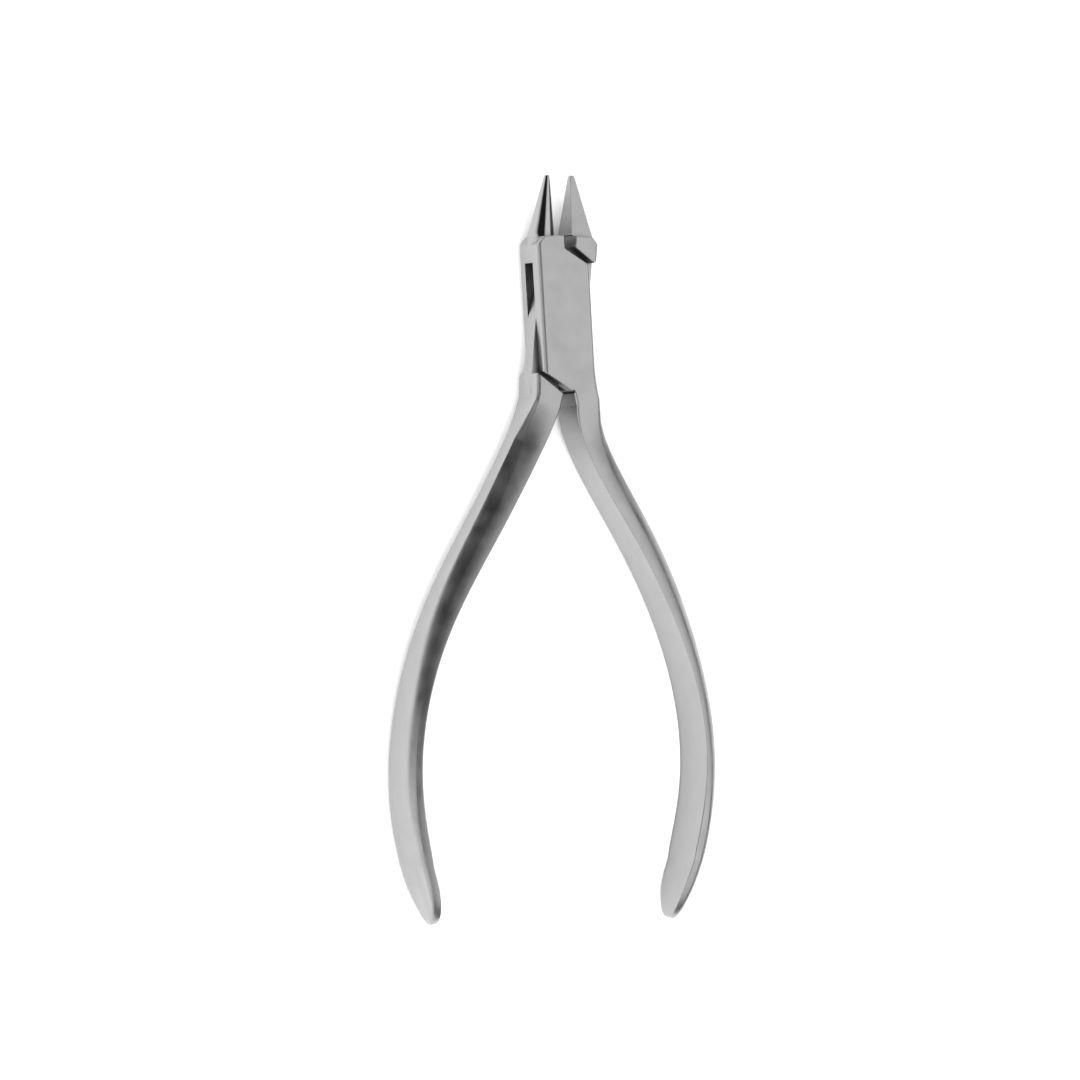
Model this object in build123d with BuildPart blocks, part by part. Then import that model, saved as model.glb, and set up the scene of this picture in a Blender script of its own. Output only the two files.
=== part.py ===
from build123d import *
from math import atan2, cos, degrees, radians, sin, tan
import os

# Wire-bending pliers with a box joint, as used in orthodontics: a tongue on one half
# passes through a slot in the other half and turns there on a riveted pivot pin.
# Millimetres. The pliers lie flat: X runs across them, Y from the pivot towards the
# beaks, Z up along the pivot. The origin is on the pivot axis at the back face of the
# joint. Each half is drawn with the pliers shut and placed by a plane turned about
# the pivot, so that the beaks stand open by rest_opening.

rest_opening = 8.6
beak_gap_shut = 0.1

# Joint block
joint_depth = 7.4
joint_half_width = 5.05
joint_top = 14.5
cone_corner = 1.5
pyramid_corner = 1.2
heel_corner = 0.7
side_round = 0.8
edge_round = 0.2

# Seam between the halves: upright at the parting line, then slanting to the sides
parting_edge = 0.3
parting_gap = 0.15
box_diagonal_foot = 9.0
box_diagonal_angle = 34.0
tongue_diagonal_foot = 9.75
tongue_diagonal_angle = 31.0
relief_notch = 0.35

# Slot through the box half, and the tongue that turns in it
slot_width = 3.0
slot_clearance = 0.04
slot_reach = 10.0
tongue_end_clearance = 0.15
tongue_relief_angle = 8.5
tongue_relief_start = 0.4

# Pivot pin, riveted flush in both cheeks
pin_diameter = 3.6
pin_head_diameter = 4.8
pin_head_height = 0.7
pin_clearance = 0.03

# Beaks
beak_length = 10.7
cone_base_diameter = 4.8
cone_tip_diameter = 0.95
cone_tip_round = 0.35
cone_sink = 1.7
pyramid_base_width = 4.2
pyramid_base_depth = 5.2
pyramid_tip_width = 0.75
pyramid_tip_depth = 0.9
pyramid_round = 0.22
pyramid_sink = 0.5

# Handles
root_y = -14.7
splay_angle = 10.4
box_root_x = 3.25
box_root_thickness = 4.85
tongue_root_x = 2.4
tongue_root_thickness = 5.1
root_proud = 0.05
root_overlap = 0.4
root_bevel = 2.0
flare_start = -8.0
handle_points = [
    (3.8, -18.8), (9.5, -32.0), (19.4, -53.8), (23.3, -75.1), (22.2, -86.5), (19.4, -96.5), (15.3, -106.2)
]
crease_share = 0.23
inner_round = 0.5
end_turn_angle = 21.6

# Round end of a handle: its depth shrinks as an ellipse does, and its thickness more slowly
end_length = 11.0
end_depth = 9.8
end_thickness = 2.7
end_outer_round = 1.1
end_bevel = 10.0
end_thinning = 0.6
end_angles = [0.0, 20.0, 40.0, 57.0, 70.0, 80.0]

# Sections between the root and the round end: share of that length, thickness, depth,
# outer round, bevel
handle_sections = [
    (0.06, 5.1, 7.4, 1.1, 3.0),
    (0.21, 4.75, 7.8, 2.1, 8.0),
    (0.35, 4.4, 8.3, 2.1, 10.0),
    (0.50, 3.7, 8.9, 1.9, 10.0),
    (0.62, 3.05, 9.6, 1.5, 10.0),
    (0.76, 2.75, 10.0, 1.3, 10.0),
    (0.90, 2.85, 10.0, 1.2, 10.0),
    (1.00, end_thickness, end_depth, end_outer_round, end_bevel),
]

middle = joint_depth / 2
splay = radians(splay_angle)
end_turn = radians(end_turn_angle)
margin = 4.0
quarter_turn = 90.0
box_plane = Plane.XY.rotated((0, 0, rest_opening / 2))
tongue_plane = Plane.XY.rotated((0, 0, -rest_opening / 2))
box_rise = tan(radians(box_diagonal_angle))
tongue_rise = tan(radians(tongue_diagonal_angle))
tongue_wall = parting_edge + parting_gap
beak_face = beak_gap_shut / 2


def diagonal_height(x, foot, rise):
    """Height of a half's upper slanting edge at a distance x from the centre line."""
    return foot + (joint_half_width - x) * rise


def handle_section(place, thickness, depth, outer_round, inner_round, bevel):
    """Flat inside, softly rounded edges, and a shallow bevel above and below outside."""
    inner = -thickness / 2
    outer = thickness / 2
    front = depth / 2
    crease = crease_share * depth
    slope = radians(bevel)
    edge_y = front - outer_round * (1 - sin(slope))
    edge_x = outer - (edge_y - crease) * tan(slope)
    flat_x = edge_x - outer_round * cos(slope)
    with BuildSketch(place) as section:
        with BuildLine() as rim:
            Line((inner, inner_round - front), (inner, front - inner_round))
            JernArc((inner, front - inner_round), (0, 1), inner_round, -quarter_turn)
            Line((inner + inner_round, front), (flat_x, front))
            JernArc((flat_x, front), (1, 0), outer_round, bevel - quarter_turn)
            Polyline((edge_x, edge_y), (outer, crease), (outer, -crease), (edge_x, -edge_y))
            JernArc((edge_x, -edge_y), (-sin(slope), -cos(slope)), outer_round, bevel - quarter_turn)
            Line((flat_x, -front), (inner + inner_round, -front))
            JernArc((inner + inner_round, -front), (-1, 0), inner_round, -quarter_turn)
        make_face(rim.edges())
    return section.sketch


def handle(half_plane, side, root_x, root_thickness):
    """One handle below its root, lofted along its centre line, then its round end."""
    points = [(root_x, root_y)] + handle_points
    with BuildLine(half_plane) as path:
        Spline(
            *[(side * x, y) for x, y in points],
            tangents=((side * sin(splay), -cos(splay)), (-side * sin(end_turn), -cos(end_turn))),
        )
    centre_line = path.edges()[0].translate((0, 0, middle))

    def plane_at(distance):
        """Plane across the handle, with X towards its outer side."""
        along = centre_line % (distance / centre_line.length)
        across = along.cross(Vector(0, 0, 1)) * -side
        return Plane(centre_line @ (distance / centre_line.length), x_dir=across, z_dir=along)

    bar_length = centre_line.length - end_length
    bar_sections = [
        handle_section(
            plane_at(0), root_thickness + 2 * root_proud, joint_depth + 2 * root_proud,
            side_round, inner_round, root_bevel,
        )
    ]
    for share, thickness, depth, outer_round, bevel in handle_sections:
        bar_sections.append(
            handle_section(plane_at(share * bar_length), thickness, depth, outer_round, inner_round, bevel)
        )
    end_sections = []
    for angle in end_angles:
        taper = cos(radians(angle))
        thinner = taper ** end_thinning
        end_sections.append(
            handle_section(
                plane_at(bar_length + end_length * sin(radians(angle))),
                end_thickness * thinner, end_depth * taper, end_outer_round * thinner,
                inner_round * thinner, end_bevel,
            )
        )
    with BuildPart() as bar:
        loft(bar_sections)
        loft(end_sections)
    return bar.part


def root_outline(root_x, root_thickness, foot, rise, lean):
    """Outer and inner corner of a handle's root, and the top of its inner wall on the seam."""
    across = Vector(cos(splay), sin(splay)) * (root_thickness / 2)
    up = Vector(-sin(splay), cos(splay))
    centre = Vector(root_x, root_y) - up * root_overlap
    inner = centre - across
    drop_to_seam = -foot - (joint_half_width + lean * inner.X) * rise - inner.Y
    wall = drop_to_seam / (cos(splay) - lean * sin(splay) * rise)
    return centre + across, inner, inner + up * wall


def pin_shape():
    """Half outline of the pivot pin, to be turned about the pivot axis."""
    radius = pin_diameter / 2
    head_radius = pin_head_diameter / 2
    with BuildLine() as rim:
        Polyline(
            (0, 0),
            (head_radius, 0),
            (radius, pin_head_height),
            (radius, joint_depth - pin_head_height),
            (head_radius, joint_depth),
            (0, joint_depth),
            close=True,
        )
    return rim.edges()


os.makedirs("parts", exist_ok=True)

right_handle = handle(box_plane, 1, box_root_x, box_root_thickness)
left_handle = handle(tongue_plane, -1, tongue_root_x, tongue_root_thickness)
box_outer, box_inner, box_wall_top = root_outline(
    box_root_x, box_root_thickness, box_diagonal_foot, box_rise, 1
)
tongue_outer, tongue_inner, tongue_wall_top = root_outline(
    tongue_root_x, tongue_root_thickness, tongue_diagonal_foot, tongue_rise, -1
)

# Cone beak: a true cone whose inner edge is parallel to the parting line
cone_angle = degrees(atan2(cone_base_diameter - cone_tip_diameter, beak_length)) / 2
cone_height = cone_base_diameter / tan(radians(2 * cone_angle))
cone_apex = box_plane.from_local_coords((-beak_face, joint_top + cone_height, middle))
cone_plane = Plane(cone_apex, x_dir=box_plane.x_dir.rotate(Axis.Z, -cone_angle), z_dir=(0, 0, 1))
cone_foot = -cone_height * cos(radians(cone_angle)) - cone_sink
cone_slope = tan(radians(cone_angle))
cone_end = -cone_tip_diameter / 2 / cone_slope
with BuildPart() as cone_beak:
    with BuildSketch(cone_plane):
        with BuildLine():
            Polyline(
                (0, cone_foot),
                (-cone_foot * cone_slope, cone_foot),
                (cone_tip_diameter / 2, cone_end),
                (0, cone_end),
                close=True,
            )
        make_face()
    revolve(axis=Axis(cone_plane.origin, cone_plane.y_dir))
    fillet(cone_beak.edges().sort_by(Axis.Y)[-1], cone_tip_round)

# Pyramid beak: four flat sides, the inner one parallel to the parting line
pyramid_slope = (pyramid_base_width - pyramid_tip_width) / beak_length
pyramid_taper = (pyramid_base_depth - pyramid_tip_depth) / beak_length
pyramid_stations = [
    (joint_top - pyramid_sink, pyramid_base_width + pyramid_sink * pyramid_slope,
     pyramid_base_depth + pyramid_sink * pyramid_taper),
    (joint_top + beak_length, pyramid_tip_width, pyramid_tip_depth),
]
with BuildPart() as pyramid_beak:
    for height, width, depth in pyramid_stations:
        foot = tongue_plane.from_local_coords((beak_face + width / 2, height, middle))
        with BuildSketch(Plane(foot, x_dir=tongue_plane.x_dir, z_dir=tongue_plane.y_dir)):
            Rectangle(width, depth)
    loft(ruled=True)
    foot_edges = pyramid_beak.faces().sort_by(Axis.Y)[0].edges()
    fillet([edge for edge in pyramid_beak.edges() if edge not in foot_edges], pyramid_round)
    with BuildSketch(tongue_plane):
        with Locations((tongue_wall, joint_top + parting_gap)):
            Rectangle(margin, margin, align=Align.MAX)
    extrude(amount=joint_depth, mode=Mode.SUBTRACT)


def face_rims(part, half_plane):
    """Edges round the front and back faces of a block, with their middles as the half is drawn."""
    levels = part.edges().group_by(Axis.Z)
    return [(edge, half_plane.to_local_coords(edge @ 0.5)) for edge in levels[0] + levels[-1]]


with BuildPart() as box_half:
    with BuildSketch(box_plane):
        with BuildLine():
            Polyline(
                (joint_half_width, flare_start),
                (joint_half_width, box_diagonal_foot),
                (parting_edge, diagonal_height(parting_edge, box_diagonal_foot, box_rise)),
                (parting_edge, joint_top),
                (cone_corner - joint_half_width, joint_top),
                (-joint_half_width, joint_top - cone_corner),
                (-joint_half_width, -box_diagonal_foot),
                box_wall_top,
                box_inner,
                box_outer,
            )
            Spline(box_outer, (joint_half_width, flare_start), tangents=((-sin(splay), cos(splay)), (0, 1)))
        make_face()
    extrude(amount=joint_depth)
    sides = [edge for edge, at in face_rims(box_half, box_plane) if abs(at.X) > joint_half_width - edge_round]
    fillet(sides, side_round)
    inner_rims = [
        edge for edge, at in face_rims(box_half, box_plane)
        if box_wall_top.X < at.X < box_inner.X and box_inner.Y < at.Y < box_wall_top.Y
    ]
    fillet(inner_rims, inner_round)
    seam_rims = [
        edge for edge, at in face_rims(box_half, box_plane)
        if at.Y > box_diagonal_foot or at.Y < -box_diagonal_foot and at.X < box_wall_top.X
    ]
    fillet(seam_rims, edge_round)
    with BuildSketch(box_plane):
        with Locations(box_wall_top):
            Circle(relief_notch)
    extrude(amount=joint_depth, mode=Mode.SUBTRACT)
    with BuildSketch(box_plane.offset(middle - slot_width / 2)):
        Rectangle(2 * (joint_half_width + margin), 2 * slot_reach)
        with Locations((parting_edge, 0)):
            Rectangle(joint_half_width + margin, joint_top, align=Align.MIN)
        with Locations((box_wall_top.X, 0)):
            Rectangle(joint_half_width + margin + box_wall_top.X, joint_top, align=Align.MAX)
    extrude(amount=slot_width, mode=Mode.SUBTRACT)
    with BuildSketch(Plane.XZ):
        make_face(pin_shape())
    revolve(axis=Axis.Z, mode=Mode.SUBTRACT)
    add(right_handle)
    add(cone_beak.part)

heel_height = diagonal_height(joint_half_width - heel_corner, tongue_diagonal_foot, tongue_rise)
neck_edge = box_wall_top.X - parting_gap
with BuildPart() as tongue_half:
    with BuildSketch(tongue_plane):
        with BuildLine():
            Polyline(
                (tongue_wall, joint_top),
                (joint_half_width - pyramid_corner, joint_top),
                (joint_half_width, joint_top - pyramid_corner),
                (joint_half_width, heel_height + heel_corner),
                (joint_half_width - heel_corner, heel_height),
                (tongue_wall, diagonal_height(tongue_wall, tongue_diagonal_foot, tongue_rise)),
                close=True,
            )
        make_face()
        with BuildLine():
            Polyline(
                (-joint_half_width, -tongue_diagonal_foot - heel_corner),
                (-joint_half_width, -tongue_diagonal_foot),
                (-tongue_wall_top.X, tongue_wall_top.Y),
                (-tongue_inner.X, tongue_inner.Y),
                (-tongue_outer.X, tongue_outer.Y),
            )
            Spline(
                (-tongue_outer.X, tongue_outer.Y),
                (-joint_half_width, -tongue_diagonal_foot - heel_corner),
                tangents=((sin(splay), cos(splay)), (0, 1)),
            )
        make_face()
    extrude(amount=joint_depth)
    sides = [edge for edge, at in face_rims(tongue_half, tongue_plane) if abs(at.X) > joint_half_width - edge_round]
    fillet(sides, side_round)
    inner_rims = [
        edge for edge, at in face_rims(tongue_half, tongue_plane)
        if -tongue_inner.X < at.X < -tongue_wall_top.X and tongue_inner.Y < at.Y < tongue_wall_top.Y
    ]
    fillet(inner_rims, inner_round)
    seam_rims = [
        edge for edge, at in face_rims(tongue_half, tongue_plane)
        if at.Y > 0 and at.X < joint_half_width - edge_round
        or 0 > at.Y > tongue_wall_top.Y and at.X > edge_round - joint_half_width
    ]
    fillet(seam_rims, edge_round)
    with BuildSketch(tongue_plane.offset(middle - slot_width / 2 + slot_clearance)):
        relief = (slot_reach - tongue_relief_start) * tan(radians(tongue_relief_angle))
        with BuildLine():
            Polyline(
                (-joint_half_width, tongue_relief_start),
                (-joint_half_width + relief, slot_reach),
                (joint_half_width, slot_reach),
                (joint_half_width, -tongue_relief_start),
                (joint_half_width - relief, -slot_reach),
                (-joint_half_width, -slot_reach),
                close=True,
            )
        make_face()
        Circle(slot_reach - tongue_end_clearance, mode=Mode.INTERSECT)
        with Locations((tongue_wall, 0)):
            Rectangle(joint_half_width - tongue_wall, joint_top - heel_corner, align=Align.MIN)
        with Locations((neck_edge, 0)):
            Rectangle(joint_half_width + neck_edge, joint_top - heel_corner, align=Align.MAX)
    extrude(amount=slot_width - 2 * slot_clearance)
    with Locations((0, 0, middle)):
        Cylinder(pin_diameter / 2 + pin_clearance, slot_width, mode=Mode.SUBTRACT)
    add(left_handle)
    add(pyramid_beak.part)

with BuildPart() as pivot_pin:
    with BuildSketch(Plane.XZ):
        make_face(pin_shape())
    revolve(axis=Axis.Z)

for name, piece in (("box_half", box_half), ("tongue_half", tongue_half), ("pivot_pin", pivot_pin)):
    piece.part.label = name
    export_step(piece.part, f"parts/{name}.step")
    print(name, piece.part.volume, piece.part.is_valid, len(piece.part.solids()), len(piece.part.faces()))
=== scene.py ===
"""Orthodontic wire-bending pliers with a box joint, in satin steel with a polished cone beak.

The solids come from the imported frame. This file gives them their finish and sets up a plain
pale floor, soft studio light and a camera. Metres, in the frame of the solids: X runs across
the pliers, Y from the pivot towards the beaks, and Z up along the pivot.
"""

import bpy
import numpy as np
from bpy.props import FloatProperty, FloatVectorProperty, PointerProperty
from bpy.types import Operator, Panel, PropertyGroup
from math import cos, radians, sin
from mathutils import Matrix, Vector
from mathutils.geometry import interpolate_bezier


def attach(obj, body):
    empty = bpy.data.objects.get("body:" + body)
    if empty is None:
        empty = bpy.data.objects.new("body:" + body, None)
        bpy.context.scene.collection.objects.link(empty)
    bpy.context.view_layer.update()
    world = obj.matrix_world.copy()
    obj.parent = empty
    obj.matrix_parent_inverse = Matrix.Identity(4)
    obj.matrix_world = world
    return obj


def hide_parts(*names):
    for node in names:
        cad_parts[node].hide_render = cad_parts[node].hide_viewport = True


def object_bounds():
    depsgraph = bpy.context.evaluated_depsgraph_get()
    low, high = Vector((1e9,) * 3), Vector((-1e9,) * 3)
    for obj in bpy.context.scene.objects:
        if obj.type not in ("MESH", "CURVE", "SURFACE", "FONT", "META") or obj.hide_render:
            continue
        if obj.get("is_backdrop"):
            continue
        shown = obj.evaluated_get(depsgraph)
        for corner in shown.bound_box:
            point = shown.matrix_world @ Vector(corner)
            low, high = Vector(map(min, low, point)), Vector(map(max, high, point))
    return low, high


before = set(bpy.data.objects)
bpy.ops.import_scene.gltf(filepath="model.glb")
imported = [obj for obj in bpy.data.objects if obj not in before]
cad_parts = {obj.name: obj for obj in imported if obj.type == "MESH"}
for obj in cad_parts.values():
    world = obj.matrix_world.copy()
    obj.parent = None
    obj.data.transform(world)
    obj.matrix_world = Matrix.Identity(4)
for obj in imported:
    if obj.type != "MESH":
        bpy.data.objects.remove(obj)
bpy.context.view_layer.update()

bl_info = {
    "name": "Box Joint Pliers",
    "version": (1, 0, 0),
    "blender": (4, 5, 0),
    "location": "3D View > Sidebar > Pliers",
    "description": "Finishes, floor, light and camera for a pair of box-joint pliers",
    "category": "Material",
}

# Sizes of the solids, in millimetres, in the plane of a half and from the pivot. The line of points
# is the middle of a handle, a root is a handle's middle and thickness where it leaves the joint, and
# the pyramid's widths and depths are those of its foot and its tip.
LINE_POINTS = (
    (3.8, -18.8), (9.5, -32.0), (19.4, -53.8), (23.3, -75.1),
    (22.2, -86.5), (19.4, -96.5), (15.3, -106.2),
)
LINE_STEPS = 60
ROOT_HEIGHT = -14.7
ROOT_HALF_DEPTH = 3.7
ROOT_ANGLE = radians(10.4)
END_ANGLE = radians(21.6)
BOX_ROOT = (3.25, 4.85)
TONGUE_ROOT = (2.4, 5.1)
JOINT_MIDDLE = 3.7
JOINT_HALF_WIDTH = 5.05
JOINT_TOP = 14.5
JOINT_CORNER = 1.5
BEAK_LENGTH = 10.7
BEAK_FACE = 0.05
PYRAMID_WIDTHS = (4.2, 0.75)
PYRAMID_DEPTHS = (5.2, 0.9)
PYRAMID_ROUND = 0.22
MILLIMETRE = 0.001

# Places along a handle, in millimetres from its root, and the steepness of the crown at the upper ones
HANDLE_START = 0.05
ROOT_REACH = 0.03
EDGE_BLEND = 6.0
CROWN_STATIONS = (0.0, 4.0, 9.0, 25.0, 55.0, 64.0, 78.0)
UPPER_GAINS = (0.0, 0.5, 1.0, 1.0)

# The crown across a handle: shares of the way to the outer side where its slope is set, the limits
# of its fall as shares of the height above the crease, and the step by which slopes are measured
CROWN_KNOTS = (0.0, 0.3, 0.6, 1.0)
CROWN_STEPS = 201
GREATEST_FALL = 0.8
GREATEST_SHARE = 1.2
SLOPE_STEP = 0.02
LEAST_STRETCH = 0.05

# How level or upright a face has to be to count as a handle's front, back or side, and how far the
# search for rounded inner edges goes beyond their radius
LEVEL = 0.04
FACING = 0.2
EDGE_MARGIN = 1.02

# Foot of the cone beak, against the top, the side and the corner of the joint
FOOT_BELOW_TOP = (2.2, 0.2)
FOOT_WIDTH = 1.0
FOOT_CLEARANCE = 0.01
FOOT_HALF_DEPTH = 2.8

# Long edges of the pyramid beak
PYRAMID_SHARPENING = 0.7
PYRAMID_FOOT = 0.1
PYRAMID_TIP = 1.5
PYRAMID_REACH = 1.3

# Strip on the tongue's neck that stands a hair proud, and the points that it is laid level with
STRIP_SPAN = (-14.2, -10.5)
STRIP_REACH = 0.002
BESIDE_SPAN = (-15.0, -9.0)
BESIDE_REACH = 0.6

# Steel: where edges count as wearing and carry a painted highlight, the patches of that wear and
# highlight, the radii round the pivot at which they set in, how open a surface is to escape the
# painted shade of crevices, and half the width of the polish's border, in metres
WEAR_AND_HIGHLIGHT_LIKENESS = (0.995, 0.9)
WEAR_AND_HIGHLIGHT_SAMPLES = 6
PATCHES = (0.35, 0.6)
LEAST_WEAR_AND_HIGHLIGHT = 0.35
PIN_EDGE = (0.0028, 0.0032)
CREVICE_SAMPLES = 8
OPEN_SHARE = (0.1, 0.85)
CLOUD_RANGE = (0.3, 0.7)
CLOUD_DETAIL = 4.0
PIT_DETAIL = 3.0
PIT_ROUGHNESS = 0.6
POLISH_BORDER = 0.0001

# Stage: the paper of the floor, and how far to the right the walls start and end their fade
FLOOR_ROUGHNESS = 0.9
UNLIT_SIDE = (0.1, 0.6)


class HandleForm(PropertyGroup):
    """Crowned front and back faces of the handles, on the shape that comes from the frame."""

    inner_slope: FloatProperty(
        name="Inner slope",
        description="Slope of the crowned face along its inner edge",
        min=0.0,
        max=1.0,
        default=0.15,
    )
    near_slope: FloatProperty(
        name="Near slope",
        description="Slope of the crowned face 0.3 of the way to the outer side",
        min=0.0,
        max=1.0,
        default=0.3,
    )
    far_slope: FloatProperty(
        name="Far slope",
        description="Slope of the crowned face 0.6 of the way to the outer side",
        min=0.0,
        max=1.0,
        default=0.4,
    )
    outer_slope: FloatProperty(
        name="Outer slope",
        description="Slope that the crown adds to the rounded outer edge",
        min=0.0,
        max=1.0,
        default=0.45,
    )
    lower_gain: FloatProperty(
        name="Lower gain",
        description="Steepness of the crown along the lower half, against the upper half",
        min=0.5,
        max=3.0,
        default=1.25,
    )
    end_gain: FloatProperty(
        name="End gain",
        description="Steepness of the crown at the round end, against the upper half",
        min=0.0,
        max=4.0,
        default=0.7,
    )
    crease_height: FloatProperty(
        name="Crease height",
        description="Height of the crease along the outer side, as a share of half the depth",
        subtype="FACTOR",
        min=0.0,
        max=0.9,
        default=0.46,
    )
    edge_round: FloatProperty(
        name="Edge round",
        description="Radius of the inner edges in the frame",
        unit="LENGTH",
        min=0.0,
        max=0.002,
        default=0.0005,
        precision=5,
    )
    kept_edge: FloatProperty(
        name="Kept edge",
        description="Share of that radius that is kept",
        subtype="FACTOR",
        min=0.05,
        max=1.0,
        default=0.3,
    )
    half_angle: FloatProperty(
        name="Half angle",
        description="Turn of each half from the centre line when at rest",
        subtype="ANGLE",
        min=0.0,
        max=0.5,
        default=radians(4.3),
    )


class SatinFinish(PropertyGroup):
    """Blasted and lightly brushed stainless steel."""

    tone: FloatVectorProperty(
        name="Tone",
        description="Colour of the steel where nothing has worn it",
        subtype="COLOR",
        size=3,
        min=0.0,
        max=1.0,
        default=(0.33, 0.33, 0.33),
    )
    roughness: FloatProperty(
        name="Roughness",
        description="Blur of the reflections in the satin surface",
        subtype="FACTOR",
        min=0.0,
        max=1.0,
        default=0.34,
    )
    roughness_change: FloatProperty(
        name="Roughness change",
        description="How far the blur rises and falls from place to place",
        subtype="FACTOR",
        min=0.0,
        max=0.5,
        default=0.06,
    )
    cloud_size: FloatProperty(
        name="Cloud size",
        description="Size of the patches in which the blur changes",
        unit="LENGTH",
        min=0.0002,
        max=0.05,
        default=0.004,
        precision=4,
    )
    grain_size: FloatProperty(
        name="Grain size",
        description="Distance between the pits of the blasted surface",
        unit="LENGTH",
        min=0.00002,
        max=0.002,
        default=0.00016,
        precision=5,
    )
    grain_depth: FloatProperty(
        name="Grain depth",
        description="Depth of the pits of the blasted surface",
        unit="LENGTH",
        min=0.0,
        max=0.0001,
        default=0.000005,
        precision=6,
    )
    streak_width: FloatProperty(
        name="Streak width",
        description="Distance between the fine lines left by brushing",
        unit="LENGTH",
        min=0.00002,
        max=0.002,
        default=0.00022,
        precision=5,
    )
    streak_length: FloatProperty(
        name="Streak length",
        description="Length of the fine lines left by brushing",
        unit="LENGTH",
        min=0.0005,
        max=0.05,
        default=0.006,
        precision=4,
    )
    streak_depth: FloatProperty(
        name="Streak depth",
        description="Depth of the fine lines left by brushing",
        unit="LENGTH",
        min=0.0,
        max=0.0001,
        default=0.000005,
        precision=6,
    )
    # Painted shade: the steel's colour is darkened where nearby walls close in, in seams and crevices,
    # standing in for the shade that falls there.
    crevice_reach: FloatProperty(
        name="Crevice reach",
        description="Distance over which nearby walls darken the steel",
        unit="LENGTH",
        min=0.0,
        max=0.02,
        default=0.0018,
        precision=4,
    )
    painted_shade_tone: FloatProperty(
        name="Crevice tone",
        description="Share of the steel's tone that is left deep in a seam",
        subtype="FACTOR",
        min=0.0,
        max=1.0,
        default=0.1,
    )
    # Partly wear and partly a painted highlight: the lighter colour along the edges also stands in for
    # the bright rims that the light gives them.
    wear_and_highlight_width: FloatProperty(
        name="Wear width",
        description="Width of the rubbed line along the edges",
        unit="LENGTH",
        min=0.0,
        max=0.002,
        default=0.00012,
        precision=5,
    )
    wear_and_highlight_tone: FloatVectorProperty(
        name="Wear tone",
        description="Colour of the steel where the edges are rubbed",
        subtype="COLOR",
        size=3,
        min=0.0,
        max=1.0,
        default=(0.45, 0.45, 0.45),
    )
    wear_roughness: FloatProperty(
        name="Wear roughness",
        description="Blur of the reflections where the edges are rubbed",
        subtype="FACTOR",
        min=0.0,
        max=1.0,
        default=0.18,
    )


class PolishedFinish(PropertyGroup):
    """Mirror polish on the cone beak."""

    roughness: FloatProperty(
        name="Roughness",
        description="Blur of the reflections in the polished surface",
        subtype="FACTOR",
        min=0.0,
        max=1.0,
        default=0.08,
    )
    start: FloatProperty(
        name="Start",
        description="Height above the pivot where the polish of the cone beak starts",
        unit="LENGTH",
        min=0.0,
        max=0.05,
        default=0.01455,
        precision=5,
    )
    lean: FloatProperty(
        name="Lean",
        description="Angle of the cone beak's half from the centre line when at rest",
        subtype="ANGLE",
        min=0.0,
        max=0.5,
        default=radians(4.3),
    )


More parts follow.
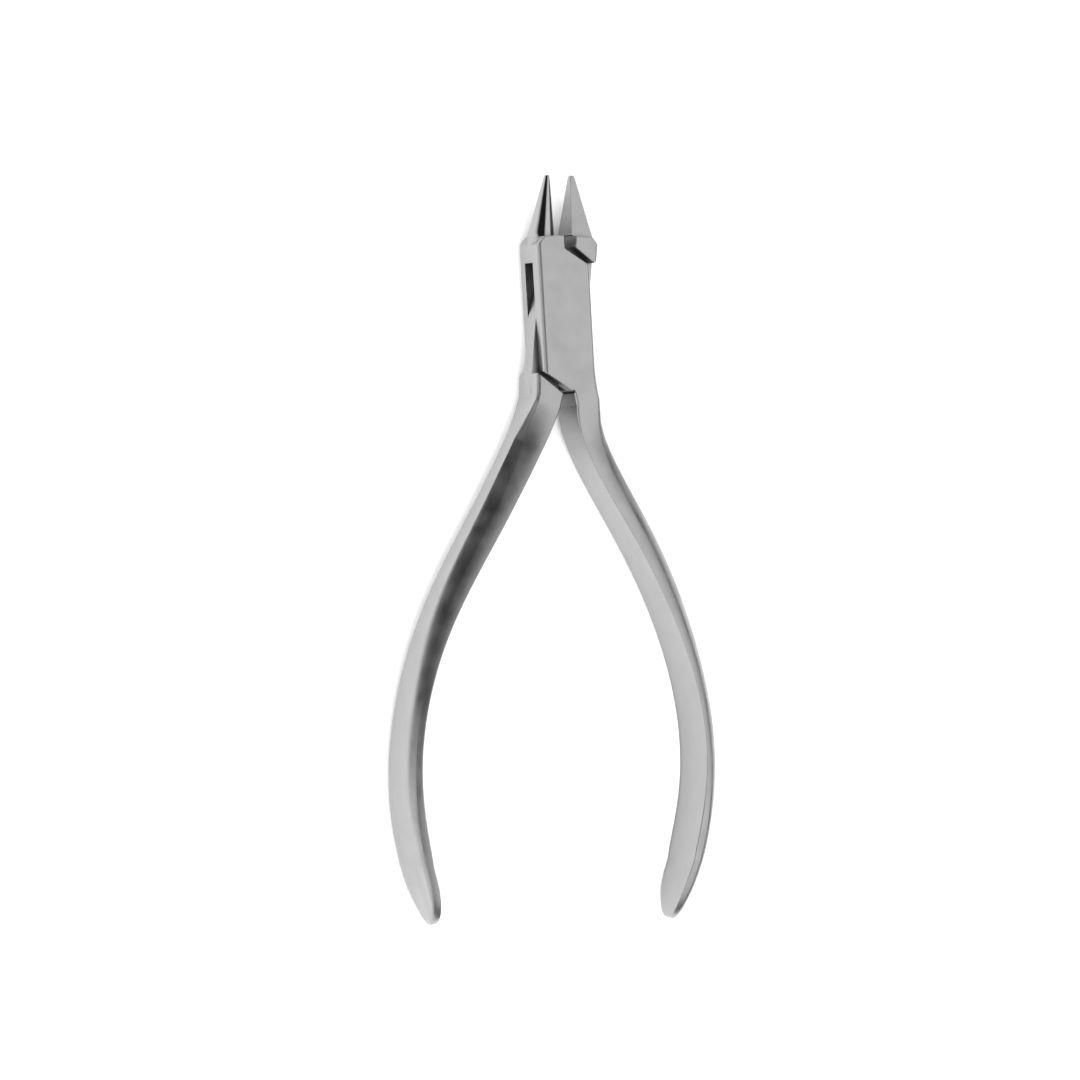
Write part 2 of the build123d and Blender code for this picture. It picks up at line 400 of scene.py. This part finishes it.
class StudioSetting(PropertyGroup):
    """Floor, light and camera."""

    floor_tone: FloatVectorProperty(
        name="Floor tone",
        description="Colour of the floor",
        subtype="COLOR",
        size=3,
        min=0.0,
        max=1.0,
        default=(0.9, 0.9, 0.9),
    )
    floor_size: FloatProperty(
        name="Floor size",
        description="Side of the square floor",
        unit="LENGTH",
        min=0.5,
        max=20.0,
        default=6.0,
    )
    camera_tilt: FloatProperty(
        name="Camera tilt",
        description="Angle of the camera from straight above, towards the left of the pliers",
        subtype="ANGLE",
        min=0.0,
        max=1.5,
        default=radians(27.2),
    )
    camera_turn: FloatProperty(
        name="Camera turn",
        description="Turn of the pliers in the picture, against the clock",
        subtype="ANGLE",
        min=-0.5,
        max=0.5,
        default=radians(0.52),
    )
    view_width: FloatProperty(
        name="View width",
        description="Width that the camera shows at the pliers",
        unit="LENGTH",
        min=0.05,
        max=1.0,
        default=0.1875,
        precision=4,
    )
    view_middle: FloatVectorProperty(
        name="View middle",
        description="Point that the camera looks at",
        subtype="TRANSLATION",
        size=3,
        default=(-0.0031, -0.0384, 0.0037),
        precision=4,
    )
    lens: FloatProperty(
        name="Lens",
        description="Focal length of the camera in millimetres",
        min=35.0,
        max=400.0,
        default=180.0,
    )
    sky_light: FloatProperty(
        name="Sky light",
        description="Brightness of the dark upper part of the studio",
        min=0.0,
        max=10.0,
        default=0.03,
    )
    wall_light: FloatProperty(
        name="Wall light",
        description="Brightness of the pale walls just above the floor",
        min=0.0,
        max=10.0,
        default=1.5,
    )
    wall_foot: FloatProperty(
        name="Wall foot",
        description="Height, as an angle, up to which the walls keep their full brightness",
        subtype="ANGLE",
        min=0.0,
        max=1.5,
        default=radians(5.0),
    )
    wall_head: FloatProperty(
        name="Wall head",
        description="Height, as an angle, at which the walls have faded into the dark",
        subtype="ANGLE",
        min=0.0,
        max=1.5,
        default=radians(32.0),
    )
    panel_light: FloatProperty(
        name="Panel light",
        description="Brightness of the soft light panel overhead",
        min=0.0,
        max=10.0,
        default=1.5,
    )
    panel_lean: FloatProperty(
        name="Panel lean",
        description="Angle of the panel from straight above, towards the right of the pliers",
        subtype="ANGLE",
        min=0.0,
        max=1.5,
        default=radians(38.0),
    )
    panel_core: FloatProperty(
        name="Panel core",
        description="Half angle of the panel's evenly bright middle",
        subtype="ANGLE",
        min=0.0,
        max=1.5,
        default=radians(18.0),
    )
    panel_rim: FloatProperty(
        name="Panel rim",
        description="Half angle at which the panel's light has faded",
        subtype="ANGLE",
        min=0.0,
        max=1.5,
        default=radians(40.0),
    )
    panel_length: FloatProperty(
        name="Panel length",
        description="Length of the panel along the pliers, as a multiple of its width",
        min=0.2,
        max=10.0,
        default=1.8,
    )
    side_light: FloatProperty(
        name="Side light",
        description="Brightness of the soft panel low on the left, towards the handles",
        min=0.0,
        max=10.0,
        default=1.45,
    )
    side_direction: FloatVectorProperty(
        name="Side direction",
        description="Direction of that panel from the pliers",
        subtype="DIRECTION",
        size=3,
        default=(-0.58, -0.5, 0.64),
    )
    side_core: FloatProperty(
        name="Side core",
        description="Half angle of that panel's evenly bright middle",
        subtype="ANGLE",
        min=0.0,
        max=1.5,
        default=radians(25.0),
    )
    side_rim: FloatProperty(
        name="Side rim",
        description="Half angle at which that panel's light has faded",
        subtype="ANGLE",
        min=0.0,
        max=1.5,
        default=radians(42.0),
    )
    lamp_power: FloatProperty(
        name="Lamp power",
        description="Power of the large lamp that lights the floor",
        subtype="POWER",
        min=0.0,
        max=500.0,
        default=55.0,
    )
    lamp_size: FloatProperty(
        name="Lamp size",
        description="Diameter of that lamp",
        unit="LENGTH",
        min=0.1,
        max=10.0,
        default=2.8,
    )
    lamp_place: FloatVectorProperty(
        name="Lamp place",
        description="Place of that lamp, which faces the pivot",
        subtype="TRANSLATION",
        size=3,
        default=(-0.6, -0.3, 1.4),
    )


def add_node(tree, kind, **settings):
    """New shader node with its settings and, by input name, its fixed values."""
    node = tree.nodes.new(kind)
    inputs = settings.pop("inputs", {})
    for name, value in settings.items():
        setattr(node, name, value)
    for name, value in inputs.items():
        node.inputs[name].default_value = value
    return node


def new_material(name):
    """Empty node material, with its principled shader already joined to the output."""
    material = bpy.data.materials.new(name)
    material.use_nodes = True
    tree = material.node_tree
    tree.nodes.clear()
    shader = add_node(tree, "ShaderNodeBsdfPrincipled")
    output = add_node(tree, "ShaderNodeOutputMaterial")
    tree.links.new(shader.outputs["BSDF"], output.inputs["Surface"])
    return material, tree, shader


def map_range(tree, value, low, high, start, end, interpolation="LINEAR"):
    """Output that runs from start to end while the value runs from low to high."""
    node = add_node(
        tree, "ShaderNodeMapRange", interpolation_type=interpolation,
        inputs={"From Min": low, "From Max": high, "To Min": start, "To Max": end},
    )
    tree.links.new(value, node.inputs["Value"])
    return node.outputs["Result"]


def along_direction(tree, vector, direction):
    """Length of a vector along a fixed direction."""
    node = add_node(tree, "ShaderNodeVectorMath", operation="DOT_PRODUCT")
    node.inputs[1].default_value = direction
    tree.links.new(vector, node.inputs[0])
    return node.outputs["Value"]


def arithmetic(tree, operation, first, second):
    """Output of one sum on two outputs, or on an output and a number."""
    node = add_node(tree, "ShaderNodeMath", operation=operation)
    for socket, value in zip(node.inputs, (first, second)):
        if isinstance(value, float):
            socket.default_value = value
        else:
            tree.links.new(value, socket)
    return node.outputs["Value"]


def noise(tree, vector, scale, detail=2.0, roughness=0.5):
    """Cloudy pattern between 0 and 1."""
    node = add_node(
        tree, "ShaderNodeTexNoise", inputs={"Scale": scale, "Detail": detail, "Roughness": roughness}
    )
    tree.links.new(vector, node.inputs["Vector"])
    return node.outputs["Fac"]


def blend(tree, share, first, second):
    """Value between two outputs or numbers, nearer the second where the share is high."""
    node = add_node(tree, "ShaderNodeMix", data_type="FLOAT")
    tree.links.new(share, node.inputs[0])
    for socket, value in ((node.inputs[2], first), (node.inputs[3], second)):
        if isinstance(value, float):
            socket.default_value = value
        else:
            tree.links.new(value, socket)
    return node.outputs[0]


def rubbed_and_highlit_edges(tree, finish, place, clouds):
    """1 along edges smoothed by wear and lit by a painted highlight, broken up as real wear is, and 0
    elsewhere and round the flush pin.
    """
    rounded = add_node(
        tree, "ShaderNodeBevel", samples=WEAR_AND_HIGHLIGHT_SAMPLES, inputs={"Radius": finish.wear_and_highlight_width}
    )
    surface = add_node(tree, "ShaderNodeNewGeometry")
    likeness = add_node(tree, "ShaderNodeVectorMath", operation="DOT_PRODUCT")
    tree.links.new(rounded.outputs["Normal"], likeness.inputs[0])
    tree.links.new(surface.outputs["Normal"], likeness.inputs[1])
    edge = map_range(tree, likeness.outputs["Value"], *WEAR_AND_HIGHLIGHT_LIKENESS, 0.0, 1.0)
    worn_and_highlit = arithmetic(tree, "MULTIPLY", edge, map_range(tree, clouds, *PATCHES, LEAST_WEAR_AND_HIGHLIGHT, 1.0))
    across = add_node(tree, "ShaderNodeVectorMath", operation="MULTIPLY")
    across.inputs[1].default_value = (1.0, 1.0, 0.0)
    tree.links.new(place, across.inputs[0])
    from_pivot = add_node(tree, "ShaderNodeVectorMath", operation="LENGTH")
    tree.links.new(across.outputs["Vector"], from_pivot.inputs[0])
    off_pin = map_range(tree, from_pivot.outputs["Value"], *PIN_EDGE, 0.0, 1.0)
    return arithmetic(tree, "MULTIPLY", worn_and_highlit, off_pin)


def painted_crevice_shade(tree, finish):
    """Painted shade: 1 on open surfaces, falling towards the painted shade tone between close walls.
    """
    node = add_node(
        tree, "ShaderNodeAmbientOcclusion", samples=CREVICE_SAMPLES,
        inputs={"Distance": finish.crevice_reach},
    )
    return map_range(tree, node.outputs["AO"], *OPEN_SHARE, finish.painted_shade_tone, 1.0)


def steel(name, finish, polish=None):
    """Satin steel with blasted grain, brushed lines, painted shade in its seams, and edges with wear
    and a painted highlight.
    """
    material, tree, shader = new_material(name)
    shader.inputs["Metallic"].default_value = 1.0
    place = add_node(tree, "ShaderNodeTexCoord").outputs["Object"]

    stretch = add_node(tree, "ShaderNodeVectorMath", operation="MULTIPLY")
    stretch.inputs[1].default_value = (
        1.0 / finish.streak_width, 1.0 / finish.streak_length, 1.0 / finish.streak_width
    )
    tree.links.new(place, stretch.inputs[0])
    streaks = noise(tree, stretch.outputs["Vector"], 1.0)
    pits = noise(tree, place, 1.0 / finish.grain_size, PIT_DETAIL, PIT_ROUGHNESS)
    lines = add_node(tree, "ShaderNodeBump", inputs={"Distance": finish.streak_depth})
    tree.links.new(streaks, lines.inputs["Height"])
    grain = add_node(tree, "ShaderNodeBump", inputs={"Distance": finish.grain_depth})
    tree.links.new(pits, grain.inputs["Height"])
    tree.links.new(lines.outputs["Normal"], grain.inputs["Normal"])
    tree.links.new(grain.outputs["Normal"], shader.inputs["Normal"])

    clouds = noise(tree, place, 1.0 / finish.cloud_size, CLOUD_DETAIL)
    smoothest = finish.roughness - finish.roughness_change
    roughest = finish.roughness + finish.roughness_change
    blur = map_range(tree, clouds, *CLOUD_RANGE, smoothest, roughest)
    edge_wear_and_highlight = rubbed_and_highlit_edges(tree, finish, place, clouds)
    blur = blend(tree, edge_wear_and_highlight, blur, finish.wear_roughness)
    if polish:
        up_beak = along_direction(tree, place, (-sin(polish.lean), cos(polish.lean), 0.0))
        below, above = polish.start - POLISH_BORDER, polish.start + POLISH_BORDER
        polished = map_range(tree, up_beak, below, above, 0.0, 1.0)
        blur = blend(tree, polished, blur, polish.roughness)
        bare = arithmetic(tree, "SUBTRACT", 1.0, polished)
        tree.links.new(bare, lines.inputs["Strength"])
        tree.links.new(bare, grain.inputs["Strength"])
    tree.links.new(blur, shader.inputs["Roughness"])

    # Lighter colour along the edges: partly wear, partly a painted highlight.
    tones = add_node(tree, "ShaderNodeMix", data_type="RGBA")
    tree.links.new(edge_wear_and_highlight, tones.inputs[0])
    tones.inputs[6].default_value = (*finish.tone, 1.0)
    tones.inputs[7].default_value = (*finish.wear_and_highlight_tone, 1.0)
    # Painted shade: the colour is darkened in seams and crevices.
    shaded = add_node(tree, "ShaderNodeVectorMath", operation="SCALE")
    tree.links.new(tones.outputs[2], shaded.inputs[0])
    tree.links.new(painted_crevice_shade(tree, finish), shaded.inputs["Scale"])
    tree.links.new(shaded.outputs["Vector"], shader.inputs["Base Color"])
    return material


def give_material(piece, material):
    """Puts one material on a piece."""
    piece.data.materials.clear()
    piece.data.materials.append(material)


def smooth_step(value, low, high):
    """0 below low, 1 above high, and a smooth rise between."""
    share = np.clip((value - low) / (high - low), 0.0, 1.0)
    return share * share * (3.0 - 2.0 * share)


def centre_line(root_x):
    """Points along a handle's centre line, their tangents, and their distances from the root."""
    knots = [Vector((root_x, ROOT_HEIGHT, 0.0))] + [Vector((x, y, 0.0)) for x, y in LINE_POINTS]
    tangents = [Vector((sin(ROOT_ANGLE), -cos(ROOT_ANGLE), 0.0))]
    for before, after in zip(knots, knots[2:]):
        tangents.append((after - before).normalized())
    tangents.append(Vector((-sin(END_ANGLE), -cos(END_ANGLE), 0.0)))
    points = []
    for start, end, leave, arrive in zip(knots, knots[1:], tangents, tangents[1:]):
        reach = (end - start).length / 3.0
        pull, hold = start + leave * reach, end - arrive * reach
        points += interpolate_bezier(start, pull, hold, end, LINE_STEPS)[:-1]
    line = np.array([point[:2] for point in points])
    ways = np.gradient(line, axis=0)
    ways /= np.linalg.norm(ways, axis=1)[:, None]
    steps = np.linalg.norm(np.diff(line, axis=0), axis=1)
    return line, ways, np.concatenate(([0.0], np.cumsum(steps)))


def in_half_plane(places, side, angle):
    """Places in millimetres in the plane of a half, with its handle on the positive side."""
    x = side * places[:, 0] / MILLIMETRE
    y = places[:, 1] / MILLIMETRE
    return np.stack((x * cos(angle) + y * sin(angle), y * cos(angle) - x * sin(angle)), axis=1)


def in_frame(flat, side, angle):
    """Directions or moves in a half's plane turned back into the frame, without their height."""
    x = flat[:, 0] * cos(angle) - flat[:, 1] * sin(angle)
    y = flat[:, 0] * sin(angle) + flat[:, 1] * cos(angle)
    return np.stack((side * x, y), axis=1)


def measure_along(distance, values, chosen):
    """Function that gives a measured value at any distance along the handle."""
    order = np.argsort(distance[chosen])
    known = distance[chosen][order]
    measured = values[chosen][order]
    return lambda wanted: np.interp(wanted, known, measured)


def crown_fall(form, across):
    """How far the crown has fallen, in thicknesses, at a share of the way to the outer side."""
    grid = np.linspace(0.0, 1.0, CROWN_STEPS)
    slopes = (form.inner_slope, form.near_slope, form.far_slope, form.outer_slope)
    slope = np.interp(grid, CROWN_KNOTS, slopes)
    fall = np.concatenate(([0.0], np.cumsum((slope[1:] + slope[:-1]) / 2.0 * np.diff(grid))))
    return np.interp(across, grid, fall)


def crown_gain(form, distance):
    """Steepness of the crown along the handle: it sets in below the root and changes lower down."""
    gains = (*UPPER_GAINS, form.lower_gain, form.lower_gain, form.end_gain)
    return np.interp(distance, CROWN_STATIONS, gains)


class Handle:
    """Points of a half by distance along its handle, out from its middle and up from half depth."""

    def __init__(self, places, side, root, form):
        root_x, self.root_thickness = root
        self.side = side
        self.form = form
        line, ways, distances = centre_line(root_x)
        self.flat = in_half_plane(places, side, form.half_angle)
        nearest = np.argmin(((self.flat[:, None, :] - line[None, :, :]) ** 2).sum(axis=2), axis=1)
        self.along_ways = ways[nearest]
        self.out_ways = np.stack((-self.along_ways[:, 1], self.along_ways[:, 0]), axis=1)
        offset = self.flat - line[nearest]
        self.distance = distances[nearest] + (offset * self.along_ways).sum(axis=1)
        self.out = (offset * self.out_ways).sum(axis=1)
        self.height = places[:, 2] / MILLIMETRE - JOINT_MIDDLE
        self.on_handle = self.distance > HANDLE_START

    def turned(self, flat):
        """Directions or moves in the half's plane, as they lie in the frame."""
        return in_frame(flat, self.side, self.form.half_angle)

    def measure(self, normals, corners):
        """Finds the handle's depth and its two sides from the faces that lie on them."""
        facing_out = (normals[:, :2] * self.turned(self.out_ways)[corners]).sum(axis=1)
        facing_up = np.abs(normals[:, 2])
        here = self.on_handle[corners]
        distance, out = self.distance[corners], self.out[corners]
        level = here & (np.abs(facing_out) < LEVEL) & (facing_up > FACING)
        inner = here & (facing_up < LEVEL) & (facing_out < -FACING)
        outer = here & (facing_up < LEVEL) & (facing_out > FACING)
        self.depth_at = measure_along(distance, np.abs(self.height)[corners], level)
        self.inner_at = measure_along(distance, out, inner)
        self.outer_at = measure_along(distance, out, outer)

    def sharpened(self):
        """Places out and heights of the points, with most of the inner edges' rounding taken out."""
        kept = 1.0 - smooth_step(self.distance, 0.0, EDGE_BLEND) * (1.0 - self.form.kept_edge)
        edge = self.form.edge_round / MILLIMETRE * EDGE_MARGIN
        below_face = self.depth_at(self.distance) - np.abs(self.height)
        from_inner = self.out - self.inner_at(self.distance)
        rounded = self.on_handle & (below_face < edge) & (from_inner < edge)
        out = np.where(rounded, self.out - from_inner * (1.0 - kept), self.out)
        raised = self.height + np.sign(self.height) * below_face * (1.0 - kept)
        return out, np.where(rounded, raised, self.height)

    def drop(self, distance, out, height):
        """How far a point of the handle is lowered towards the middle of its depth."""
        thickness = self.outer_at(distance) - self.inner_at(distance)
        across = np.clip((out - self.inner_at(distance)) / thickness, 0.0, 1.0)
        depth = self.depth_at(distance)
        crease = self.form.crease_height * depth
        share = np.clip((np.abs(height) - crease) / (depth - crease), 0.0, GREATEST_SHARE)
        most = GREATEST_FALL * (depth - crease) / crown_fall(self.form, 1.0)
        reach = np.minimum(crown_gain(self.form, distance) * thickness, most)
        return np.sign(height) * share * reach * crown_fall(self.form, across)

    def drop_slopes(self, out, height):
        """How fast the drop grows along the handle, outwards and upwards."""
        here, step = self.distance, SLOPE_STEP
        along = self.drop(here + step, out, height) - self.drop(here - step, out, height)
        outwards = self.drop(here, out + step, height) - self.drop(here, out - step, height)
        upwards = self.drop(here, out, height + step) - self.drop(here, out, height - step)
        slopes = np.stack((along, outwards, upwards), axis=1) / (2.0 * step)
        slopes[~self.on_handle] = 0.0
        return slopes

    def crowned_normals(self, normals, corners, slopes):
        """Normals of the corners once the points have dropped."""
        gradient = np.empty((len(slopes), 3))
        gradient[:, :2] = self.turned(self.along_ways) * slopes[:, :1]
        gradient[:, :2] += self.turned(self.out_ways) * slopes[:, 1:2]
        gradient[:, 2] = slopes[:, 2]
        tilt = normals[:, 2] / np.maximum(1.0 - gradient[corners, 2], LEAST_STRETCH)
        crowned = normals + gradient[corners] * tilt[:, None]
        return crowned / np.linalg.norm(crowned, axis=1)[:, None]

    def lay_root_flush(self, places):
        """Trims the root of the handle to the width and depth of the joint above it."""
        at_root = np.abs(self.distance) < ROOT_REACH
        half = self.root_thickness / 2.0
        trimmed = self.turned(self.out_ways * (np.clip(self.out, -half, half) - self.out)[:, None])
        places[:, :2] += np.where(at_root[:, None], trimmed, 0.0) * MILLIMETRE
        low = (JOINT_MIDDLE - ROOT_HALF_DEPTH) * MILLIMETRE
        high = (JOINT_MIDDLE + ROOT_HALF_DEPTH) * MILLIMETRE
        places[:, 2] = np.where(at_root, np.clip(places[:, 2], low, high), places[:, 2])


def trim_cone_foot(out, up, height):
    """Lays the foot of the cone beak onto the corner of the joint."""
    corner = JOINT_TOP - JOINT_CORNER + np.maximum(out + JOINT_HALF_WIDTH, 0.0)
    deepest, shallowest = FOOT_BELOW_TOP
    foot = (up > JOINT_TOP - deepest) & (up < JOINT_TOP - shallowest) & (up > corner + FOOT_CLEARANCE)
    foot &= (out < FOOT_WIDTH - JOINT_HALF_WIDTH) & (np.abs(height) < FOOT_HALF_DEPTH)
    inside = np.maximum(out, -JOINT_HALF_WIDTH)
    return np.where(foot, inside, out), np.where(foot, corner, up), height


def sharpen_pyramid(out, up, height):
    """Takes most of the rounding out of the pyramid beak's long edges."""
    above = up - JOINT_TOP
    share = np.clip(above / BEAK_LENGTH, 0.0, 1.0)
    width = np.interp(share, (0.0, 1.0), PYRAMID_WIDTHS)
    half_depth = np.interp(share, (0.0, 1.0), PYRAMID_DEPTHS) / 2.0
    on_beak = (above > PYRAMID_FOOT) & (above < BEAK_LENGTH - PYRAMID_ROUND * PYRAMID_TIP)
    below_face = half_depth - np.abs(height)
    reach = PYRAMID_ROUND * PYRAMID_REACH
    sharp_out, sharp_height = out.copy(), height.copy()
    for rim, inward in ((-BEAK_FACE, -1.0), (-BEAK_FACE - width, 1.0)):
        from_rim = (out - rim) * inward
        near = on_beak & (below_face < reach) & (from_rim < reach)
        sharp_out[near] -= (from_rim * inward * PYRAMID_SHARPENING)[near]
        sharp_height[near] += (np.sign(height) * below_face * PYRAMID_SHARPENING)[near]
    return sharp_out, up, sharp_height


def level_neck_strip(out, up, height):
    """Lays the strip that stands a hair proud on the tongue's neck level with the points beside it."""
    strip = (up > STRIP_SPAN[0]) & (up < STRIP_SPAN[1])
    strip &= np.abs(out - JOINT_HALF_WIDTH) < STRIP_REACH
    beside = ~strip & (up > BESIDE_SPAN[0]) & (up < BESIDE_SPAN[1])
    beside &= out > JOINT_HALF_WIDTH - BESIDE_REACH
    level = out.copy()
    for index in np.flatnonzero(strip):
        gaps = np.abs(up - up[index]) + np.abs(height - height[index])
        gaps[~beside] = np.inf
        level[index] = out[np.argmin(gaps)]
    return level, up, height


def read_mesh(mesh):
    """Places of a mesh's points, normals of its face corners, and the point of each corner."""
    places = np.empty(len(mesh.vertices) * 3)
    mesh.vertices.foreach_get("co", places)
    normals = np.empty(len(mesh.loops) * 3)
    mesh.corner_normals.foreach_get("vector", normals)
    corners = np.empty(len(mesh.loops), dtype=int)
    mesh.loops.foreach_get("vertex_index", corners)
    return places.reshape(-1, 3), normals.reshape(-1, 3), corners


def crowned_half(name, node, side, root, refinements, form):
    """Copy of a half with a crowned handle, crisper inner edges and a refined joint and beak."""
    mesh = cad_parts[node].data.copy()
    mesh.name = name
    places, normals, corners = read_mesh(mesh)
    handle = Handle(places, side, root, form)
    handle.measure(normals, corners)

    out, height = handle.sharpened()
    lowered = height - handle.drop(handle.distance, out, height) + JOINT_MIDDLE
    slopes = handle.drop_slopes(out, height)
    places[:, :2] += handle.turned(handle.out_ways * (out - handle.out)[:, None]) * MILLIMETRE
    places[:, 2] = np.where(handle.on_handle, lowered * MILLIMETRE, places[:, 2])
    handle.lay_root_flush(places)

    old = (*handle.flat.T, places[:, 2] / MILLIMETRE - JOINT_MIDDLE)
    new = old
    for refine in refinements:
        new = refine(*new)
    shift = np.stack((new[0] - old[0], new[1] - old[1]), axis=1)
    places[:, :2] += handle.turned(shift) * MILLIMETRE
    places[:, 2] += (new[2] - old[2]) * MILLIMETRE

    mesh.vertices.foreach_set("co", places.ravel())
    mesh.update()
    mesh.normals_split_custom_set(handle.crowned_normals(normals, corners, slopes).tolist())
    piece = bpy.data.objects.new(name, mesh)
    bpy.context.scene.collection.objects.link(piece)
    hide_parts(node)
    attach(piece, node)
    return piece


class PLIERS_OT_halves(Operator):
    """Give both halves of the pliers their steel"""

    bl_idname = "pliers.halves"
    bl_label = "Finish the Halves"

    def execute(self, context):
        scene = context.scene
        form = scene.pliers_form
        box = crowned_half("box_half_steel", "box_half", 1, BOX_ROOT, (trim_cone_foot,), form)
        refinements = (sharpen_pyramid, level_neck_strip)
        tongue = crowned_half("tongue_half_steel", "tongue_half", -1, TONGUE_ROOT, refinements, form)
        give_material(box, steel("box_steel", scene.pliers_satin, scene.pliers_polish))
        give_material(tongue, steel("tongue_steel", scene.pliers_satin))
        return {"FINISHED"}


class PLIERS_OT_pin(Operator):
    """Give the pivot pin its steel"""

    bl_idname = "pliers.pin"
    bl_label = "Finish the Pivot Pin"

    def execute(self, context):
        give_material(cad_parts["pivot_pin"], steel("pin_steel", context.scene.pliers_satin))
        return {"FINISHED"}


def camera_direction(studio):
    """Direction from the pliers to the camera."""
    return Vector((-sin(studio.camera_tilt), 0.0, cos(studio.camera_tilt)))


def add_floor(studio):
    """Plain pale floor under the pliers."""
    low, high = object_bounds()
    material, tree, shader = new_material("floor_paper")
    shader.inputs["Base Color"].default_value = (*studio.floor_tone, 1.0)
    shader.inputs["Roughness"].default_value = FLOOR_ROUGHNESS
    half = studio.floor_size / 2
    mesh = bpy.data.meshes.new("floor")
    corners = [(x * half, y * half, low[2]) for x, y in ((-1, -1), (1, -1), (1, 1), (-1, 1))]
    mesh.from_pydata(corners, [], [(0, 1, 2, 3)])
    mesh.materials.append(material)
    floor = bpy.data.objects.new("floor", mesh)
    bpy.context.scene.collection.objects.link(floor)
    floor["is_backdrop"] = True


def add_surroundings(studio):
    """World like a dark studio with pale walls near the floor and two soft panels."""
    world = bpy.data.worlds.new("studio")
    world.use_nodes = True
    tree = world.node_tree
    tree.nodes.clear()
    direction = add_node(tree, "ShaderNodeTexCoord").outputs["Generated"]
    height = along_direction(tree, direction, (0.0, 0.0, 1.0))
    foot, head = sin(studio.wall_foot), sin(studio.wall_head)
    walls = map_range(tree, height, foot, head, studio.wall_light, studio.sky_light, "SMOOTHSTEP")
    to_right = along_direction(tree, direction, (1.0, 0.0, 0.0))
    unlit = map_range(tree, to_right, *UNLIT_SIDE, 0.0, 1.0, "SMOOTHSTEP")
    walls = blend(tree, unlit, walls, studio.sky_light)
    narrowed = add_node(tree, "ShaderNodeVectorMath", operation="MULTIPLY")
    narrowed.inputs[1].default_value = (1.0, 1.0 / studio.panel_length, 1.0)
    tree.links.new(direction, narrowed.inputs[0])
    unit = add_node(tree, "ShaderNodeVectorMath", operation="NORMALIZE")
    tree.links.new(narrowed.outputs["Vector"], unit.inputs[0])
    overhead = (sin(studio.panel_lean), 0.0, cos(studio.panel_lean))
    towards_panel = along_direction(tree, unit.outputs["Vector"], overhead)
    rim, core = cos(studio.panel_rim), cos(studio.panel_core)
    panel = map_range(tree, towards_panel, rim, core, 0.0, studio.panel_light, "SMOOTHSTEP")
    towards_side = along_direction(tree, direction, Vector(studio.side_direction).normalized())
    rim, core = cos(studio.side_rim), cos(studio.side_core)
    side_panel = map_range(tree, towards_side, rim, core, 0.0, studio.side_light, "SMOOTHSTEP")
    panels = arithmetic(tree, "ADD", panel, side_panel)
    light = add_node(tree, "ShaderNodeBackground", inputs={"Color": (1.0, 1.0, 1.0, 1.0)})
    tree.links.new(arithmetic(tree, "ADD", walls, panels), light.inputs["Strength"])
    output = add_node(tree, "ShaderNodeOutputWorld")
    tree.links.new(light.outputs["Background"], output.inputs["Surface"])
    bpy.context.scene.world = world


def add_lamp(studio):
    """Large soft lamp that brightens the floor. The steel doesn't mirror it."""
    lamp = bpy.data.lights.new("floor_lamp", "AREA")
    lamp.shape = "DISK"
    lamp.size = studio.lamp_size
    lamp.energy = studio.lamp_power
    lamp_object = bpy.data.objects.new("floor_lamp", lamp)
    lamp_object.location = studio.lamp_place
    lamp_object.rotation_euler = (-lamp_object.location).to_track_quat("-Z", "Y").to_euler()
    lamp_object.visible_glossy = False
    bpy.context.scene.collection.objects.link(lamp_object)


def add_camera(studio):
    """Camera above the left side of the pliers, with the beaks at the top of the picture."""
    camera = bpy.data.cameras.new("camera")
    camera.lens = studio.lens
    distance = studio.view_width * camera.lens / camera.sensor_width
    backward = camera_direction(studio)
    up = Matrix.Rotation(studio.camera_turn, 3, backward) @ Vector((0.0, 1.0, 0.0))
    right = up.cross(backward)
    camera_object = bpy.data.objects.new("camera", camera)
    turn = Matrix((right, up, backward)).transposed().to_4x4()
    place = Vector(studio.view_middle) + backward * distance
    camera_object.matrix_world = Matrix.Translation(place) @ turn
    bpy.context.scene.collection.objects.link(camera_object)
    bpy.context.scene.camera = camera_object


class PLIERS_OT_stage(Operator):
    """Build the floor, the light and the camera"""

    bl_idname = "pliers.stage"
    bl_label = "Build the Stage"

    def execute(self, context):
        studio = context.scene.pliers_studio
        context.scene.view_settings.view_transform = "Standard"
        add_floor(studio)
        add_surroundings(studio)
        add_lamp(studio)
        add_camera(studio)
        return {"FINISHED"}


class PLIERS_PT_sidebar(Panel):
    """Lists the steps that finish the pliers, with their settings"""

    bl_idname = "PLIERS_PT_sidebar"
    bl_label = "Pliers"
    bl_space_type = "VIEW_3D"
    bl_region_type = "UI"
    bl_category = "Pliers"

    def draw(self, context):
        layout = self.layout
        for step in (PLIERS_OT_halves, PLIERS_OT_pin, PLIERS_OT_stage):
            layout.operator(step.bl_idname)
        scene = context.scene
        for group in (scene.pliers_form, scene.pliers_satin, scene.pliers_polish, scene.pliers_studio):
            box = layout.box()
            for name in group.__annotations__:
                box.prop(group, name)


CLASSES = (
    HandleForm,
    SatinFinish,
    PolishedFinish,
    StudioSetting,
    PLIERS_OT_halves,
    PLIERS_OT_pin,
    PLIERS_OT_stage,
    PLIERS_PT_sidebar,
)


def register():
    for part in CLASSES:
        bpy.utils.register_class(part)
    bpy.types.Scene.pliers_form = PointerProperty(type=HandleForm)
    bpy.types.Scene.pliers_satin = PointerProperty(type=SatinFinish)
    bpy.types.Scene.pliers_polish = PointerProperty(type=PolishedFinish)
    bpy.types.Scene.pliers_studio = PointerProperty(type=StudioSetting)


def unregister():
    del bpy.types.Scene.pliers_studio
    del bpy.types.Scene.pliers_polish
    del bpy.types.Scene.pliers_satin
    del bpy.types.Scene.pliers_form
    for part in reversed(CLASSES):
        bpy.utils.unregister_class(part)


def main():
    register()
    bpy.ops.pliers.halves()
    bpy.ops.pliers.pin()
    bpy.ops.pliers.stage()


if __name__ == "__main__":
    main()
